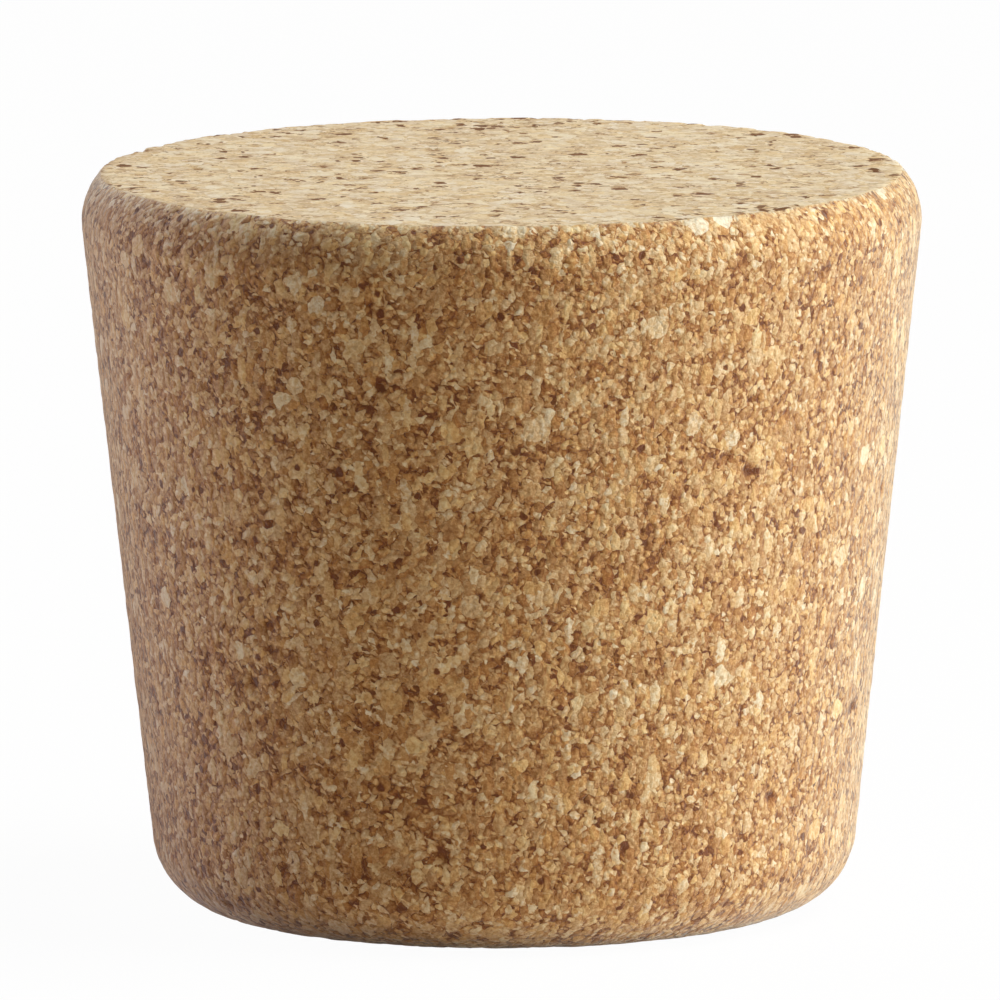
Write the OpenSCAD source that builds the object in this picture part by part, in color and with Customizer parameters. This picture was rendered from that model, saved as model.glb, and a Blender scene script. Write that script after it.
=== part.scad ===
// Tapered cork stopper, pressed from cork granules and turned in one piece.
// It stands on its narrow end. The origin is the centre of the bottom face, and +Z points up.

/* [Body] */
// Diameter of the wide end, where the tapered wall would meet the top face
top_d = 60; // [40:0.2:100]
// Diameter of the narrow end, where the tapered wall would meet the bottom face
bottom_d = 48.6; // [30:0.2:90]
// Height from the bottom face to the top face
height = 52.2; // [25:0.1:90]

/* [Edges] */
// Radius of the rounding at the top of the wall
top_round = 5; // [0.5:0.1:8]
// How far the top face is ground down into that rounding, which leaves a crisp edge round the face
top_ground = 1.6; // [0:0.1:3]
// Radius of the rounding between the wall and the bottom face
bottom_round = 5.6; // [0.5:0.1:8]

/* [Hidden] */

cork_colour = "#c79a68";
// Depth at which the straight wall ends inside the edge circles, so that they join without a sliver
seam = 0.001;
$fn = 128;

// Angle between the wall and the axis, positive where the stopper widens upwards
taper = atan2((top_d - bottom_d) / 2, height);

// Radius of the unrounded wall at height z
function wall_r(z) = bottom_d / 2 + z * tan(taper);

// Height of the top before it is ground down, where the rounding would run out
full_height = height + top_ground;

// Centre, as [radius, height], of the circle of radius r that is tangent to the wall and
// to the level z_face; side is 1 where the body lies above that level, or else -1
function round_centre(r, z_face, side) =
    let (z = z_face + side * r)
    [wall_r(z) - r / cos(taper), z];

// End of the straight wall at the circle of radius r about centre
function wall_end(centre, r) = centre + (r - seam) * [cos(taper), -sin(taper)];

bottom_centre = round_centre(bottom_round, 0, 1);
top_centre = round_centre(top_round, full_height, -1);

// Half section before grinding: straight faces and wall, closed by the two edge circles
module full_section() {
    polygon([
        [0, 0],
        [bottom_centre.x, 0],
        wall_end(bottom_centre, bottom_round),
        wall_end(top_centre, top_round),
        [top_centre.x, full_height],
        [0, full_height]
    ]);
    translate(bottom_centre)
        circle(r = bottom_round);
    translate(top_centre)
        circle(r = top_round);
}

// Half section of the stopper, with everything above the top face ground away
module half_section() {
    difference() {
        full_section();
        translate([-1, height])
            square([top_d, top_round + top_ground]);
    }
}

module stopper() {
    color(cork_colour)
        rotate_extrude()
            half_section();
}

stopper();
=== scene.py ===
from math import asin, atan2, cos, pi, radians, sin

import bpy
import numpy as np
from bpy.props import FloatProperty, FloatVectorProperty, IntProperty, PointerProperty
from mathutils import Matrix, Vector


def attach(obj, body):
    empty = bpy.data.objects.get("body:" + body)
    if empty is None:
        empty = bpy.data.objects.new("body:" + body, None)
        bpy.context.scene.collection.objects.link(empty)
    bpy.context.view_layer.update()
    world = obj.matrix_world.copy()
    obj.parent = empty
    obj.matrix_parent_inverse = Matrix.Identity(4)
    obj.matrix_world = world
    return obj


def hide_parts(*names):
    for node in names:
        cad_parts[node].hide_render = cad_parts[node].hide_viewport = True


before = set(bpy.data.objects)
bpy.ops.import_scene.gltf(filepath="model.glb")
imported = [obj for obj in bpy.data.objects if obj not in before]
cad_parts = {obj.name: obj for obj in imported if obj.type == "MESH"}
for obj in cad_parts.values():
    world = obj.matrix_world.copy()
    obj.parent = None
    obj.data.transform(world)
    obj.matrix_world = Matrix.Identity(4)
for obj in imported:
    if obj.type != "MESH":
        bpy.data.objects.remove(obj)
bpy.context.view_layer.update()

bl_info = {
    "name": "Cork Stopper",
    "version": (1, 0, 0),
    "blender": (4, 5, 0),
    "location": "3D View > Sidebar > Cork Stopper",
    "description": "A tapered stopper of pressed cork granules, and a plain studio around it",
    "category": "Add Mesh",
}

MM = 0.001
# Points closer than this, in millimetres, are the same point
SAME_POINT = 0.001

# The relief of the granules draws its chance values from this seed, in a block with this many cells a side
SEED = 5
BLOCK = 64
# The chance height of a lump makes up this share of the relief, and its slope to the border the rest
LUMP_HEIGHT = 0.6
# A lump slopes down, and a pore deepens, between these distances from the seed, as shares of the size
LUMP_SLOPE = (0.2, 0.9)
PORE_SLOPE = (0.6, 0.2)
# The wear of the edge is the cube of a sum: its least value, and what the chance values of lump and
# granule add to it
WEAR_MIX = (0.3, 0.3, 0.4)

# A large chip reaches this far from its seed, as a share of its size
CHIP_REACH = 0.6
# A granule lies this much lower at one granule size from its seed, where 1 is the whole range of heights
SLOPE = 0.8
# The three layers of granules are turned by these angles, in radians about x, y and z
TURNS = ((0.0, 0.0, 0.0), (0.9, 0.5, 0.3), (-0.8, 0.7, 1.9))

# How fine three noise patterns are, in features per metre: the ragged outline of the granules, the slow
# change of tone from place to place, and the speckle on each granule
RAGGED_SCALE = 1320.0
CLOUD_SCALE = 260.0
FLECK_SCALE = 3000.0
# Noise varies evenly round this value
MIDDLE = 0.5

# What these add to the tone, from 0 for the darkest colour to 1 for the palest: the height of a granule,
# as painted shade on the lower ones, the slow change from place to place, and an open pore, as painted shade
# in it
RELIEF_SHADE = 0.15
CLOUD_TONE = 0.22
PORE_SHADE = -0.5
# The tone of the darkest chip, and how much paler the palest one is
CHIP_TONE = 0.5
CHIP_SPREAD = 0.45
# A pit, a dark speck with painted shade of a small hole, darkens between these distances inside its border,
# as shares of its cell
PIT_SLOPE = (-0.05, 0.1)
# Where the colours of the tone and the tints of the hue lie, from 0 to 1
TONE_STOPS = (0.0, 0.25, 0.5, 0.75, 1.0)
HUE_STOPS = (0.0, 0.5, 1.0)
# The roughness of the darkest and of the palest cork, and the refractive index of both
ROUGHNESS = (0.9, 0.7)
CORK_IOR = 1.45

# A surface turned upwards takes the painted light from above by a smooth step between these heights of its
# normal
TOP_LIGHT_FROM = 0.15
TOP_LIGHT_TO = 0.9
# The top edge has its own mix of chips and pits out to this distance
EDGE_REACH = 1.2 * MM

# The two finishes: the wall as it left the mould, and the end faces, which are ground flat.
# scale: the width of the granules, but not of the chips, as a multiple of the sizes that the user sets
# ragged: the strength of the noise that shifts the outline of a granule
# base, spread: the tone of a dull granule, and how much a bright one adds
# gaps, gap_shade: a gap opens below the second height, and painted shade in it takes gap_shade away at and
# below the first one
# fleck: the strength of the speckle
# painted_top_light: painted light from above, which a surface that is turned upwards adds to the tone
# chip_share, edge_chips: the share of the large cells that are chips, and what the top edge adds to it
# pit_share, edge_pits: the same for pits, where the slow change from place to place counts as well
# pit_reach, pit_speck_and_shade: the widest pit as a share of its cell, and how much tone a pit takes away,
# as a dark speck and painted shade of a small hole
# tints: the three colours that the hue of a granule runs through, which multiply its own colour
# bump: the depth of the speckle and of the granules, in millimetres
# gloss: values of the shader itself
FINISHES = {
    "pressed_cork": {
        "scale": 1.0, "ragged": 0.5 * MM,
        "base": 0.3, "spread": 0.5, "gaps": (-0.12, 0.42), "gap_shade": 0.41,
        "fleck": 1.05, "painted_top_light": 0.14, "chip_share": 0.06, "edge_chips": 0.04,
        "pit_share": 0.36, "pit_reach": 0.24, "pit_speck_and_shade": 1.0, "edge_pits": 0.4,
        "tints": ((1.0, 0.86, 0.6), (1.0, 0.95, 0.87), (1.0, 1.01, 1.08)), "bump": (0.08, 0.16),
        "gloss": {"Specular IOR Level": 0.4, "Sheen Weight": 0.52, "Sheen Roughness": 0.5,
                  "Sheen Tint": (0.92, 1.0, 0.92, 1.0)},
    },
    "ground_cork": {
        "scale": 1.8, "ragged": 1.3 * MM,
        "base": 0.46, "spread": 0.44, "gaps": (-0.2, 0.1), "gap_shade": 0.4,
        "fleck": 0.8, "painted_top_light": 0.0, "chip_share": 0.0, "edge_chips": 0.0,
        "pit_share": 0.5, "pit_reach": 0.55, "pit_speck_and_shade": 0.9, "edge_pits": 0.3,
        "tints": ((1.0, 0.94, 0.82), (1.0, 1.0, 1.0), (1.0, 1.02, 1.12)), "bump": (0.036, 0.036),
        "gloss": {"Specular IOR Level": 0.3, "Sheen Weight": 0.0},
    },
}

# Each lamp: its name, which studio settings are its power and colour, and its azimuth and elevation
LAMPS = (
    ("key_lamp", "key", "daylight", 82, 12),
    ("top_lamp", "top", "daylight", 85, 60),
    ("side_lamp", "side", "skylight", -120, 12),
)
# The side of a lamp, and how far the floor reaches each way, in metres
LAMP_SIZE = 0.6
FLOOR_REACH = 3.0
# How much of plain white the floor is where it is seen
FLOOR_FADE = 0.97
# The camera aims this far left of and above the middle of the stopper, and is rolled by this angle
AIM_LEFT = 0.2 * MM
AIM_ABOVE = 2.62 * MM
CAMERA_ROLL = radians(-0.25)


# ---------------------------------------------------------------------------------------------
# The turned section, measured on the packed solid


def circle_through(points):
    """The centre and radius of the circle nearest to some points, as (x, y) rows.

    On a circle, x^2 + y^2 = 2 a x + 2 b y + c, where (a, b) is the centre and c + a^2 + b^2 is the radius
    squared, so a, b and c are the least-squares solution of that line for all the points.
    """
    lines = np.column_stack([2 * points, np.ones(len(points))])
    (a, b, c), *_ = np.linalg.lstsq(lines, (points ** 2).sum(axis=1), rcond=None)
    return np.array([a, b]), (c + a * a + b * b) ** 0.5


def measured_section(node):
    """Sizes of the turned section of a solid, in metres: its faces, its taper and its two edge roundings.

    Every vertex is taken as (radius, height), and the outline is the widest vertex of each level. The two
    outline points next to half the height give the lean of the straight wall. The points above the widest
    level all lie on the top rounding. The points inside the wall's own foot, where it would meet the bottom
    face, all lie on the bottom rounding.
    """
    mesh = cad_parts[node].data
    spots = np.empty(len(mesh.vertices) * 3)
    mesh.vertices.foreach_get("co", spots)
    x, y, z = spots.reshape(-1, 3).T / MM
    radius = np.hypot(x, y)
    levels = np.unique(z.round(4))
    widest = np.array([radius[np.abs(z - level) < SAME_POINT].max() for level in levels])
    outline = np.column_stack([widest, levels])
    height = levels[-1]
    above = np.searchsorted(levels, height / 2)
    across, along = outline[above] - outline[above - 1]
    wall_foot = widest[above] - levels[above] * across / along
    _, bottom_round = circle_through(outline[widest < wall_foot])
    top_centre, top_round = circle_through(outline[widest.argmax():])
    return {
        "height": height * MM,
        "taper": atan2(across, along),
        "bottom_flat": widest[0] * MM,
        "top_flat": widest[-1] * MM,
        "bottom_round": bottom_round * MM,
        "top_round": top_round * MM,
        "edge_angle": asin((height - top_centre[1]) / top_round),
    }


SECTION = measured_section("stopper")


# ---------------------------------------------------------------------------------------------
# What a user would change


def length(name, description, default, most):
    """A length in metres, up to the most that makes sense for it."""
    return FloatProperty(name=name, description=description, default=default, min=most / 1000, max=most,
                         unit="LENGTH", precision=5)


def share(name, description, default):
    """A share, from 0 to 1."""
    return FloatProperty(name=name, description=description, default=default, min=0.0, max=1.0,
                         subtype="FACTOR")


def colour(name, description, default):
    """A colour, as linear red, green and blue."""
    return FloatVectorProperty(name=name, description=description, default=default, min=0.0, max=1.0,
                               subtype="COLOR")


class StopperForm(bpy.types.PropertyGroup):
    """The turned section of the stopper, and how finely its surface is divided"""

    height: length("Height", "From the bottom face to the top face", SECTION["height"], 0.1)
    taper: FloatProperty(
        name="Taper", description="Lean of the straight wall away from the axis",
        default=SECTION["taper"], min=0.0, max=0.5, subtype="ANGLE")
    bottom_flat: length(
        "Bottom Flat", "Radius of the flat part of the bottom face", SECTION["bottom_flat"], 0.05)
    top_flat: length("Top Flat", "Radius of the flat part of the top face", SECTION["top_flat"], 0.05)
    bottom_round: length(
        "Bottom Rounding", "Radius of the edge between wall and bottom face", SECTION["bottom_round"], 0.01)
    top_round: length(
        "Top Rounding", "Radius of the rounding at the top of the wall", SECTION["top_round"], 0.01)
    edge_angle: FloatProperty(
        name="Edge Angle",
        description="How far the top rounding has turned upwards where the top face cuts it off",
        default=SECTION["edge_angle"], min=0.0, max=pi / 2, subtype="ANGLE")
    face_steps: IntProperty(
        name="Face Steps",
        description="Squares across each end face; the wall has four times as many round it",
        default=118, min=8, max=118)
    wall_steps: IntProperty(
        name="Wall Steps", description="Squares from the bottom face up to the top face",
        default=150, min=8, max=150)


class CorkGrain(bpy.types.PropertyGroup):
    """The granules that the cork is pressed from"""

    chip: length("Chip Size", "Usual width of the few large chips", 1.4 * MM, 0.01)
    granule: length("Granule Size", "Usual width of the common granules", 0.66 * MM, 0.01)
    grit: length("Grit Size", "Usual width of the smaller granules among them", 0.48 * MM, 0.01)
    crumb: length("Crumb Size", "Usual width of the crumbs in the gaps", 0.3 * MM, 0.01)
    stretch: FloatProperty(
        name="Stretch", description="How many times longer than wide a granule is",
        default=1.9, min=1.0, max=4.0)
    relief: length("Relief", "How far one lump of granules may lie below another", 0.08 * MM, 0.001)
    lump: length("Lump Size", "Usual width of the lumps in the relief", 1.2 * MM, 0.01)
    pore: length("Pore Size", "Usual width of the open pores", 1.3 * MM, 0.01)
    pore_depth: length("Pore Depth", "Depth of the open pores where a granule is missing", 0.2 * MM, 0.001)
    pore_share: share("Pore Share", "Share of the surface that lies near a pore", 0.012)
    wear: length("Edge Wear", "How far the crisp top edge may be worn down", 0.16 * MM, 0.002)
    wear_reach: length("Wear Reach", "How far from the edge the wear begins", 0.8 * MM, 0.01)


class WallColours(bpy.types.PropertyGroup):
    """The tones of the wall, from the gaps between granules to the palest chips"""

    # The bark colour also carries the painted shade in the gaps and pits
    bark: colour("Bark", "Specks of bark, and the gaps between granules", (0.16, 0.037, 0.0))
    brown: colour("Brown", "Brown granules", (0.33, 0.12, 0.021))
    tan: colour("Tan", "The common granules", (0.52, 0.256, 0.082))
    straw: colour("Straw", "Light granules", (0.72, 0.46, 0.21))
    cream: colour("Cream", "The palest chips", (0.855, 0.68, 0.43))


class FaceColours(bpy.types.PropertyGroup):
    """The tones of the ground end faces, from the pits to the palest granules"""

    # The pits take these colours partly as painted shade of small holes
    bark: colour("Bark", "The deepest pits", (0.16, 0.065, 0.02))
    brown: colour("Brown", "Shallow pits and brown granules", (0.36, 0.2, 0.09))
    tan: colour("Tan", "The darker granules", (0.58, 0.385, 0.2))
    straw: colour("Straw", "The common granules", (0.735, 0.545, 0.322))
    cream: colour("Cream", "The palest granules", (0.83, 0.665, 0.44))


class StudioSetup(bpy.types.PropertyGroup):
    """Floor, lamps and camera"""

    floor: colour("Floor", "Colour of the floor", (0.84, 0.77, 0.69))
    daylight: colour("Daylight", "Colour of the two lamps on the right", (0.85, 0.93, 0.98))
    skylight: colour("Skylight", "Colour of the weak lamp on the left", (0.84, 0.79, 0.98))
    key: FloatProperty(
        name="Key Lamp", description="Power of the low lamp on the right",
        default=11.3, min=0.0, unit="POWER")
    top: FloatProperty(
        name="Top Lamp", description="Power of the lamp above on the right",
        default=9.6, min=0.0, unit="POWER")
    side: FloatProperty(
        name="Side Lamp", description="Power of the weak lamp on the left",
        default=6.3, min=0.0, unit="POWER")
    ambient: share("Ambient", "Strength of the even light from all round", 0.0)
    camera_distance: length("Camera Distance", "From the camera to the middle of the stopper", 1.66, 10.0)
    camera_height: FloatProperty(
        name="Camera Angle", description="How far above level the camera looks from",
        default=radians(8.64), min=0.0, max=1.5, subtype="ANGLE")
    lens: FloatProperty(
        name="Lens", description="Focal length of the camera", default=847.0, min=10.0, unit="CAMERA")


# ---------------------------------------------------------------------------------------------
# Surfaces


def half_section(form):
    """Points and outward normals of the half section, as (radius, height) rows at even steps along it.

    The path is the bottom rounding, the straight wall and the top rounding, which the top face cuts off at
    the edge angle. On a rounding the normal turns evenly, and the point is the centre plus the radius times
    the normal. On the wall the normal stays across it, and the point moves in a straight line.
    """
    across = np.array([cos(form.taper), -sin(form.taper)])
    bottom_centre = np.array([form.bottom_flat, form.bottom_round])
    top_edge = np.array([form.top_flat, form.height])
    top_centre = top_edge - form.top_round * np.array([cos(form.edge_angle), sin(form.edge_angle)])
    foot = bottom_centre + form.bottom_round * across
    head = top_centre + form.top_round * across
    wall_starts = form.bottom_round * (pi / 2 - form.taper)
    wall_ends = wall_starts + np.hypot(*(head - foot))
    along = np.linspace(0, wall_ends + form.top_round * (form.edge_angle + form.taper), form.wall_steps + 1)
    on_bottom = (along < wall_starts)[:, None]
    on_top = (along > wall_ends)[:, None]
    turn = -form.taper
    turn = turn + np.minimum(along - wall_starts, 0) / form.bottom_round
    turn = turn + np.maximum(along - wall_ends, 0) / form.top_round
    normals = np.stack([np.cos(turn), np.sin(turn)], axis=1)
    up_wall = (along - wall_starts)[:, None] / (wall_ends - wall_starts)
    points = foot + (head - foot) * up_wall
    points = np.where(on_bottom, bottom_centre + form.bottom_round * normals, points)
    points = np.where(on_top, top_centre + form.top_round * normals, points)
    return points, normals


def wall_surface(form):
    """The half section carried round the axis: radius r and height h at angle a give (r cos a, r sin a, h).

    It comes as points and as normals, in rows from the bottom to the top.
    """
    around = 4 * form.face_steps
    angle = pi / 4 + np.arange(around + 1) * 2 * pi / around
    circle = np.stack([np.cos(angle), np.sin(angle)], axis=1)
    sheets = []
    for rows in half_section(form):
        level = rows[:, None, :1] * circle
        rise = np.broadcast_to(rows[:, None, 1:], (*level.shape[:2], 1))
        sheets.append(np.concatenate([level, rise], axis=2))
    return sheets


def disc_surface(radius, height, steps, facing):
    """A flat disc without a pole: a square grid whose rings of squares become circles.

    A grid point (u, v) with |u| >= |v| goes to the radius u and the angle (pi / 4) (v / u), and otherwise
    to the radius v and the angle pi / 2 - (pi / 4) (u / v), so all squares keep the same area.
    """
    line = np.linspace(-1, 1, steps + 1)
    u, v = np.meshgrid(line, line, indexing="ij")
    wide = np.abs(u) >= np.abs(v)
    reach = np.where(wide, u, v)
    part = np.where(wide, v, u) / np.where(reach == 0, 1, reach)
    angle = np.where(wide, pi / 4 * part, pi / 2 - pi / 4 * part)
    points = np.stack(
        [radius * reach * np.cos(angle), radius * reach * np.sin(angle), np.full_like(u, height)], axis=2)
    return points, np.broadcast_to([0.0, 0.0, facing], points.shape)


def square_faces(rows, columns, first, turned):
    """The corners of every square of a grid of points that are numbered from first.

    They go round the other way if turned is true.
    """
    at = first + np.arange(rows * columns).reshape(rows, columns)
    corners = [at[:-1, :-1], at[:-1, 1:], at[1:, 1:], at[1:, :-1]]
    return np.stack(corners[::-1] if turned else corners, axis=-1).reshape(-1, 4)


def stopper_surface(form):
    """The closed surface: the wall and both discs, joined where they meet.

    It comes as points, outward normals, faces, and the finish of each face: 0 on the wall and 1 on a disc.
    """
    sheets = [
        (wall_surface(form), False, 0),
        (disc_surface(form.bottom_flat, 0.0, form.face_steps, -1.0), False, 1),
        (disc_surface(form.top_flat, form.height, form.face_steps, 1.0), True, 1),
    ]
    points, normals, faces, finish, first = [], [], [], [], 0
    for (sheet, sheet_normals), turned, sheet_finish in sheets:
        rows, columns = sheet.shape[:2]
        faces.append(square_faces(rows, columns, first, turned))
        finish.append(np.full(len(faces[-1]), sheet_finish))
        points.append(sheet.reshape(-1, 3))
        normals.append(sheet_normals.reshape(-1, 3))
        first += rows * columns
    points, normals, faces, finish = (np.concatenate(parts) for parts in (points, normals, faces, finish))
    rounded = (points / (SAME_POINT * MM)).round().astype(int)
    _, kept, number = np.unique(rounded, axis=0, return_index=True, return_inverse=True)
    return points[kept], normals[kept], number.reshape(-1)[faces], finish


# ---------------------------------------------------------------------------------------------
# Granules, as fields of the point


def granules_at(points, size, chances):
    """For each point, the chance values of the granule that it lies in, and how far it is from its seed.

    Every cell of a grid of this size holds one seed, at the place that its first three chance values give,
    and a point belongs to the nearest seed. The distance is a share of the size. The cells take their
    chance values from a block that repeats.
    """
    places = points / size
    around = np.stack(np.meshgrid(*[(-1, 0, 1)] * 3, indexing="ij"), axis=-1).reshape(27, 1, 3)
    cells = np.floor(places).astype(int) + around
    luck = chances[tuple(np.moveaxis(cells % len(chances), -1, 0))]
    spread = ((cells + luck[..., :3] - places) ** 2).sum(axis=2)
    nearest = spread.argmin(axis=0), np.arange(len(points))
    return luck[nearest], np.sqrt(spread[nearest])


def smooth_step(value, low, high):
    """0 below low and 1 above high, and between them 3 t^2 - 2 t^3, where t is the share of the way."""
    way = np.clip((value - low) / (high - low), 0, 1)
    return way ** 2 * (3 - 2 * way)


def near_edge(points, form, reach):
    """1 on the ring where the top face cuts the rounding off, and a smooth step down to 0 at this reach."""
    from_edge = np.hypot(np.hypot(points[:, 0], points[:, 1]) - form.top_flat, points[:, 2] - form.height)
    return smooth_step(from_edge, reach, 0)


def cork_relief(points, grain, form):
    """How far the surface lies below the turned one at each point, in metres, and how deep in a pore it is.

    Each lump of granules has its own chance height and slopes down to its border. Where a granule is
    missing, a pore takes its place, and a smooth step from its border to its middle gives its depth, from 0
    to 1. The wear of the crisp edge is how near the edge is, times the cube of a sum of the chance values
    of lump and granule.
    """
    chances = np.random.default_rng(SEED).random((BLOCK, BLOCK, BLOCK, 4))
    lump, from_lump = granules_at(points, grain.lump, chances)
    hole, from_hole = granules_at(points, grain.pore, chances[::-1])
    bit, _ = granules_at(points, grain.granule, chances[:, ::-1])
    sunk = LUMP_HEIGHT * lump[:, 3] + (1 - LUMP_HEIGHT) * smooth_step(from_lump, *LUMP_SLOPE)
    pore = (hole[:, 3] < grain.pore_share) * smooth_step(from_hole, *PORE_SLOPE)
    least, of_lump, of_bit = WEAR_MIX
    loose = least + of_lump * lump[:, 3] + of_bit * bit[:, 3]
    worn = near_edge(points, form, grain.wear_reach) * loose ** 3
    return sunk * grain.relief + pore * grain.pore_depth + worn * grain.wear, pore


# ---------------------------------------------------------------------------------------------
# Materials


class NodeSteps:
    """Writes a node tree as steps: each call adds a node, joins what it is given and returns an output."""

    def __init__(self, tree):
        tree.nodes.clear()
        self.tree = tree

    def add(self, kind, inputs, out=0, **settings):
        """Adds a node with these settings, sets or links its inputs, and returns one of its outputs."""
        node = self.tree.nodes.new(kind)
        count = len(self.tree.nodes) - 1
        node.location = (200 * (count % 12), -300 * (count // 12))
        for name, value in settings.items():
            setattr(node, name, value)
        for name, value in inputs.items():
            if isinstance(value, bpy.types.NodeSocket):
                self.tree.links.new(value, node.inputs[name])
            else:
                node.inputs[name].default_value = value
        return node.outputs[out] if node.outputs else None

    def math(self, operation, *values):
        """One operation on numbers."""
        return self.add("ShaderNodeMath", dict(enumerate(values)), operation=operation)

    def vector(self, operation, *values):
        """One operation on vectors."""
        return self.add("ShaderNodeVectorMath", dict(enumerate(values)), operation=operation)

    def step(self, value, low, high, start=0.0, end=1.0):
        """A smooth step, from start at low to end at high."""
        ends = {"Value": value, "From Min": low, "From Max": high, "To Min": start, "To Max": end}
        return self.add("ShaderNodeMapRange", ends, interpolation_type="SMOOTHSTEP")

    def number_mix(self, part, first, second):
        """The first number where part is 0 and the second one where it is 1."""
        return self.add("ShaderNodeMix", {0: part, 2: first, 3: second}, data_type="FLOAT")

    def colour_product(self, first, second):
        """One colour times another, channel by channel."""
        given = {0: 1.0, 6: first, 7: second}
        return self.add("ShaderNodeMix", given, out=2, data_type="RGBA", blend_type="MULTIPLY")

    def noise(self, place, scale, detail, roughness=0.5, out=0):
        """Noise with this many features per metre: a number, or a colour if out is "Color"."""
        given = {"Vector": place, "Scale": scale, "Detail": detail, "Roughness": roughness}
        return self.add("ShaderNodeTexNoise", given, out=out)

    def granules(self, place, size=1.0):
        """The three chance values of the granule at a place, and how far off its seed is.

        The distance is a share of the size.
        """
        cells = self.add("ShaderNodeTexVoronoi", {"Vector": place, "Scale": 1 / size}).node.outputs
        luck = self.add("ShaderNodeSeparateColor", {"Color": cells["Color"]}).node.outputs
        return [*luck, cells["Distance"]]

    def heap(self, place, widths, stretch):
        """Layers of granules that lie over one another: tone, hue and height of the uppermost at a place.

        Each layer has its own turn and its own width, and its granules are stretched along one direction.
        The height of a granule is its third chance value, less the slope times the distance to its seed.
        The last value is the height without the last layer, whose crumbs are too small to stand out.
        """
        tone = hue = height = larger = None
        for width, turn in zip(widths, TURNS):
            given = {"Vector": place, "Rotation": turn, "Scale": (width, width, stretch * width)}
            turned = self.add("ShaderNodeMapping", given, vector_type="TEXTURE")
            new_tone, new_hue, luck, distance = self.granules(turned)
            new_height = self.math("MULTIPLY_ADD", distance, -SLOPE, luck)
            if height is None:
                tone, hue, height = new_tone, new_hue, new_height
                continue
            larger = height
            above = self.math("GREATER_THAN", new_height, height)
            tone = self.number_mix(above, tone, new_tone)
            hue = self.number_mix(above, hue, new_hue)
            height = self.math("MAXIMUM", height, new_height)
        return tone, hue, height, larger

    def ramp(self, value, stops):
        """The colour at a value, between stops that are given as (position, colour)."""
        elements = self.add("ShaderNodeValToRGB", {"Fac": value}).node.color_ramp.elements
        while len(elements) < len(stops):
            elements.new(1.0)
        for element, (position, tone) in zip(elements, stops):
            element.position = position
            element.color = (*tone, 1.0)
        return self.tree.nodes[-1].outputs[0]


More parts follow.
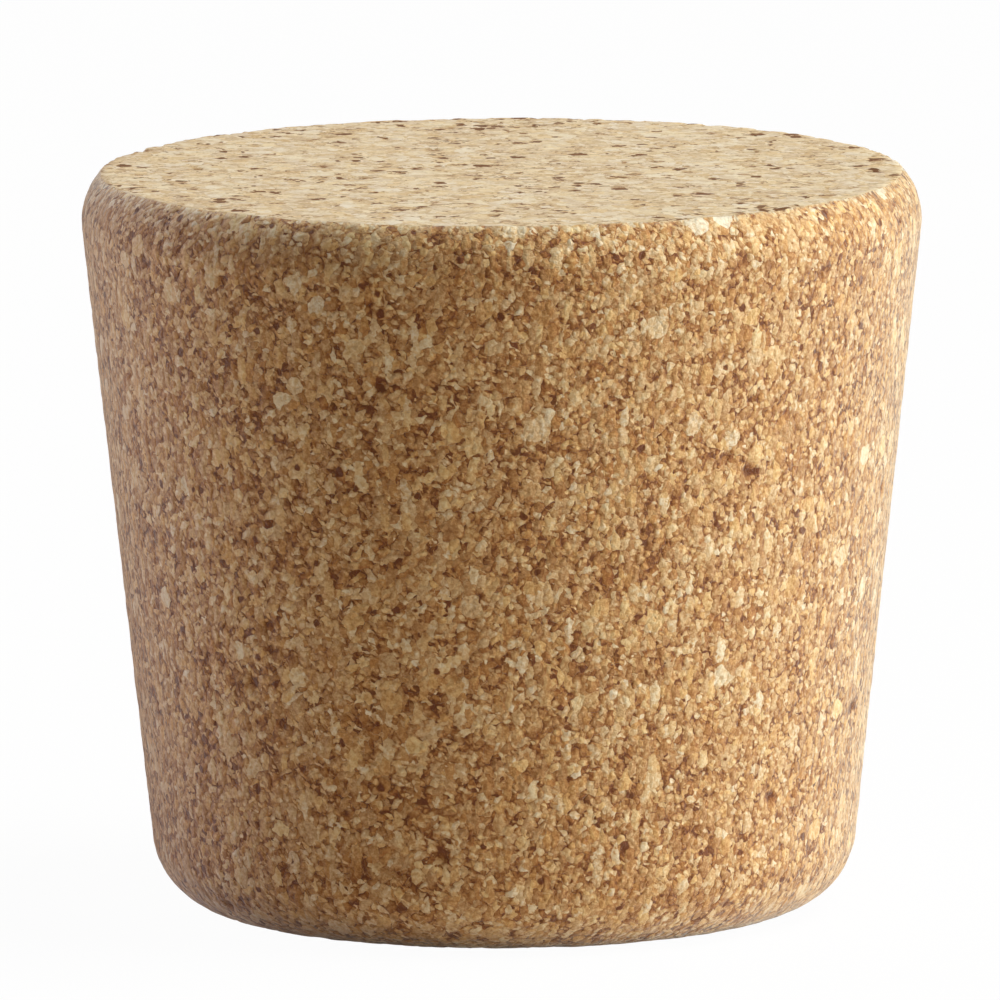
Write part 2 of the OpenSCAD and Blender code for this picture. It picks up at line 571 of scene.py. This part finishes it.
def cork_material(name, grain, colours):
    """Cork granules of three sizes heaped over one another, with dark gaps, a few large chips, and pits.

    The tone is a sum: the chance value of the uppermost granule, its height as painted shade on the lower
    granules, the speckle and the slow change from place to place, less painted shade in the gaps, pits and
    pores, plus painted light from above where the surface turns upwards. Chips and pits lie round the seeds
    of large cells, and a pit is a dark speck as well as painted shade of a small hole. A colour ramp turns
    the tone into a colour, and a tint that follows the hue of the granule multiplies it.
    """
    finish = FINISHES[name]
    material = bpy.data.materials.new(name)
    material.use_nodes = True
    n = NodeSteps(material.node_tree)
    place = n.add("ShaderNodeTexCoord", {}, out="Object")
    wander = n.noise(place, RAGGED_SCALE, detail=1.0, roughness=1.0, out="Color")
    wander = n.vector("SUBTRACT", wander, (MIDDLE,) * 3)
    ragged = n.vector("MULTIPLY_ADD", wander, (finish["ragged"],) * 3, place)
    upward, edge, pore = (n.add("ShaderNodeAttribute", {}, out="Fac", attribute_name=attribute)
                          for attribute in ("upward", "edge", "pore"))

    widths = [finish["scale"] * width for width in (grain.granule, grain.grit, grain.crumb)]
    luck, hue, height, larger = n.heap(ragged, widths, grain.stretch)
    tone = n.math("MULTIPLY_ADD", luck, finish["spread"], finish["base"])
    # Painted shade: the lower a granule lies in the heap, the darker it is
    tone = n.math("MULTIPLY_ADD", height, RELIEF_SHADE, tone)
    # Painted shade in the gaps between granules
    tone = n.math("SUBTRACT", tone, n.step(height, *finish["gaps"], finish["gap_shade"], 0.0))

    cell_luck, cell_hue, cell_rank, from_cell = n.granules(ragged, grain.chip)
    rank_of_chips = n.math("MULTIPLY_ADD", edge, finish["edge_chips"], finish["chip_share"])
    on_chip = n.math("LESS_THAN", cell_rank, rank_of_chips)
    on_chip = n.math("MULTIPLY", on_chip, n.math("LESS_THAN", from_cell, CHIP_REACH))
    tone = n.number_mix(on_chip, tone, n.math("MULTIPLY_ADD", cell_luck, CHIP_SPREAD, CHIP_TONE))
    hue = n.number_mix(on_chip, hue, cell_hue)

    cloud = n.math("SUBTRACT", n.noise(place, CLOUD_SCALE, detail=1.0), MIDDLE)
    tone = n.math("MULTIPLY_ADD", cloud, CLOUD_TONE, tone)
    fleck = n.noise(place, FLECK_SCALE, detail=2.0, roughness=0.75)
    tone = n.math("MULTIPLY_ADD", n.math("SUBTRACT", fleck, MIDDLE), finish["fleck"], tone)
    rank_of_pits = n.math("MULTIPLY_ADD", edge, -finish["edge_pits"], 1.0 - finish["pit_share"])
    rank_of_pits = n.math("ADD", rank_of_pits, cloud)
    inside = n.math("MULTIPLY_ADD", cell_luck, finish["pit_reach"], n.math("MULTIPLY", from_cell, -1.0))
    pit = n.math("MULTIPLY", n.math("GREATER_THAN", cell_rank, rank_of_pits), n.step(inside, *PIT_SLOPE))
    # Pits: dark specks, and painted shade of small holes that the mesh lacks
    tone = n.math("MULTIPLY_ADD", pit, -finish["pit_speck_and_shade"], tone)
    # Painted shade in the open pores of the mesh
    tone = n.math("MULTIPLY_ADD", pore, PORE_SHADE, tone)
    # Painted light from above on the surfaces turned upwards
    tone = n.math("MULTIPLY_ADD", upward, finish["painted_top_light"], tone)
    tones = (colours.bark, colours.brown, colours.tan, colours.straw, colours.cream)
    shade = n.ramp(tone, list(zip(TONE_STOPS, tones)))
    tint = n.ramp(hue, list(zip(HUE_STOPS, finish["tints"])))
    shade = n.colour_product(shade, tint)

    fine, coarse = finish["bump"]
    bumps = n.math("MULTIPLY_ADD", fleck, fine, n.math("MULTIPLY", larger, coarse))
    normal = n.add("ShaderNodeBump", {"Distance": MM, "Height": bumps})
    cork = n.add("ShaderNodeBsdfPrincipled", {
        "Base Color": shade, "Roughness": n.step(tone, 0.0, 1.0, *ROUGHNESS), "Normal": normal,
        "IOR": CORK_IOR, **finish["gloss"]})
    n.add("ShaderNodeOutputMaterial", {"Surface": cork})
    return material


def seen_directly(n):
    """1 for rays that the camera follows, straight or by way of a gloss or glass, and otherwise 0."""
    rays = n.add("ShaderNodeLightPath", {}).node.outputs
    seen = n.math("MAXIMUM", rays["Is Camera Ray"], rays["Is Glossy Ray"])
    return n.math("MAXIMUM", seen, rays["Is Transmission Ray"])


def floor_material(studio):
    """A matt floor that fades towards plain white where it is seen, which leaves a soft shadow on it."""
    material = bpy.data.materials.new("pale_floor")
    material.use_nodes = True
    n = NodeSteps(material.node_tree)
    matt = n.add("ShaderNodeBsdfDiffuse", {"Color": (*studio.floor, 1.0)})
    white = n.add("ShaderNodeEmission", {"Color": (1.0, 1.0, 1.0, 1.0), "Strength": 1.0})
    fade = n.math("MULTIPLY", seen_directly(n), FLOOR_FADE)
    seen = n.add("ShaderNodeMixShader", {0: fade, 1: matt, 2: white})
    n.add("ShaderNodeOutputMaterial", {"Surface": seen})
    return material


def studio_world(studio):
    """Even light from all round, which is plain white where it is seen."""
    world = bpy.data.worlds.new("studio")
    world.use_nodes = True
    n = NodeSteps(world.node_tree)
    strength = n.number_mix(seen_directly(n), studio.ambient, 1.0)
    light = n.add("ShaderNodeBackground", {"Color": (1.0, 1.0, 1.0, 1.0), "Strength": strength})
    n.add("ShaderNodeOutputWorld", {"Surface": light})
    return world


# ---------------------------------------------------------------------------------------------
# Pieces


def mesh_object(name, points, faces, finish=0):
    """A smooth-shaded mesh of these points and square faces, as an object at the origin.

    The finish says which of the object's materials each face has.
    """
    mesh = bpy.data.meshes.new(name)
    mesh.vertices.add(len(points))
    mesh.vertices.foreach_set("co", points.ravel())
    mesh.loops.add(faces.size)
    mesh.loops.foreach_set("vertex_index", faces.ravel())
    mesh.polygons.add(len(faces))
    mesh.polygons.foreach_set("loop_start", np.arange(0, faces.size, 4))
    mesh.polygons.foreach_set("use_smooth", np.ones(len(faces), bool))
    mesh.polygons.foreach_set("material_index", np.broadcast_to(finish, len(faces)).astype(np.int32))
    mesh.update(calc_edges=True)
    mesh.validate()
    piece = bpy.data.objects.new(name, mesh)
    bpy.context.scene.collection.objects.link(piece)
    return piece


class MESH_OT_cork_stopper_body(bpy.types.Operator):
    """Make the stopper: the turned surface, sunk by the relief of its granules, in pressed cork"""

    bl_idname = "mesh.cork_stopper_body"
    bl_label = "Cork Body"
    bl_options = {"REGISTER", "UNDO"}

    def execute(self, context):
        scene = context.scene
        form, grain = scene.stopper_form, scene.cork_grain
        points, normals, faces, finish = stopper_surface(form)
        sunk, pore = cork_relief(points, grain, form)
        body = mesh_object("cork_body", points - normals * sunk[:, None], faces, finish)
        # Mask for the painted light from above: how far the surface turns upwards
        upward = smooth_step(normals[:, 2], TOP_LIGHT_FROM, TOP_LIGHT_TO)
        edge = near_edge(points, form, EDGE_REACH)
        for name, values in (("pore", pore), ("upward", upward), ("edge", edge)):
            body.data.attributes.new(name, "FLOAT", "POINT").data.foreach_set("value", values)
        for name, colours in zip(FINISHES, (scene.wall_colours, scene.face_colours)):
            body.data.materials.append(cork_material(name, grain, colours))
        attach(body, "root")
        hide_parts("stopper")
        return {"FINISHED"}


def area_lamp(name, power, tint, azimuth, elevation):
    """A square lamp at one metre from the middle of the stopper, facing it.

    Azimuth 0 is in front and 90 degrees is on the right.
    """
    data = bpy.data.lights.new(name, "AREA")
    data.energy = power
    data.size = LAMP_SIZE
    data.color = tint
    lamp = bpy.data.objects.new(name, data)
    turn, rise = radians(azimuth), radians(elevation)
    back = Vector((sin(turn) * cos(rise), -cos(turn) * cos(rise), sin(rise)))
    lamp.location = Vector((0, 0, SECTION["height"] / 2)) + back
    lamp.rotation_euler = back.to_track_quat("Z", "Y").to_euler()
    bpy.context.scene.collection.objects.link(lamp)


def studio_camera(studio):
    """A camera in front, a little above level, that frames the stopper just left of and above its middle."""
    camera = bpy.data.objects.new("camera", bpy.data.cameras.new("camera"))
    camera.data.lens = studio.lens
    rise = studio.camera_height
    back = Vector((0, -cos(rise), sin(rise)))
    up = Vector((0, sin(rise), cos(rise)))
    place = Vector((0, 0, SECTION["height"] / 2)) + back * studio.camera_distance
    aim = Vector((-AIM_LEFT, 0, SECTION["height"] / 2)) + up * AIM_ABOVE
    look = (place - aim).to_track_quat("Z", "Y")
    roll = Matrix.Rotation(CAMERA_ROLL, 4, "Z")
    camera.matrix_world = Matrix.Translation(place) @ look.to_matrix().to_4x4() @ roll
    bpy.context.scene.collection.objects.link(camera)
    return camera


class SCENE_OT_cork_stopper_studio(bpy.types.Operator):
    """Make the floor, the world, the lamps and the camera"""

    bl_idname = "scene.cork_stopper_studio"
    bl_label = "Studio"
    bl_options = {"REGISTER", "UNDO"}

    def execute(self, context):
        scene = context.scene
        studio = scene.studio_setup
        corners = FLOOR_REACH * np.array([(-1, -1, 0), (1, -1, 0), (1, 1, 0), (-1, 1, 0)], float)
        floor = mesh_object("floor", corners, np.array([[0, 1, 2, 3]]))
        floor.data.materials.append(floor_material(studio))
        scene.world = studio_world(studio)
        for name, power, tint, azimuth, elevation in LAMPS:
            area_lamp(name, getattr(studio, power), getattr(studio, tint), azimuth, elevation)
        scene.camera = studio_camera(studio)
        scene.view_settings.view_transform = "Standard"
        return {"FINISHED"}


class VIEW3D_PT_cork_stopper(bpy.types.Panel):
    """Sizes, grain, colours and studio of the cork stopper, and the buttons that make them"""

    bl_label = "Cork Stopper"
    bl_idname = "VIEW3D_PT_cork_stopper"
    bl_space_type = "VIEW_3D"
    bl_region_type = "UI"
    bl_category = "Cork Stopper"

    def draw(self, context):
        for attribute, kind in SETTINGS.items():
            box = self.layout.box()
            box.label(text=kind.__doc__)
            for name in kind.__annotations__:
                box.prop(getattr(context.scene, attribute), name)
        for step in STEPS:
            self.layout.operator(step.bl_idname)


SETTINGS = {
    "stopper_form": StopperForm,
    "cork_grain": CorkGrain,
    "wall_colours": WallColours,
    "face_colours": FaceColours,
    "studio_setup": StudioSetup,
}
STEPS = (MESH_OT_cork_stopper_body, SCENE_OT_cork_stopper_studio)
CLASSES = (*SETTINGS.values(), *STEPS, VIEW3D_PT_cork_stopper)


def register():
    """Makes the classes known, and gives the scene its settings."""
    for kind in CLASSES:
        bpy.utils.register_class(kind)
    for attribute, kind in SETTINGS.items():
        setattr(bpy.types.Scene, attribute, PointerProperty(type=kind))


def unregister():
    """Takes the settings and the classes away again."""
    for attribute in SETTINGS:
        delattr(bpy.types.Scene, attribute)
    for kind in reversed(CLASSES):
        bpy.utils.unregister_class(kind)


def main():
    """Makes the stopper and the studio."""
    register()
    bpy.ops.mesh.cork_stopper_body()
    bpy.ops.scene.cork_stopper_studio()


if __name__ == "__main__":
    main()
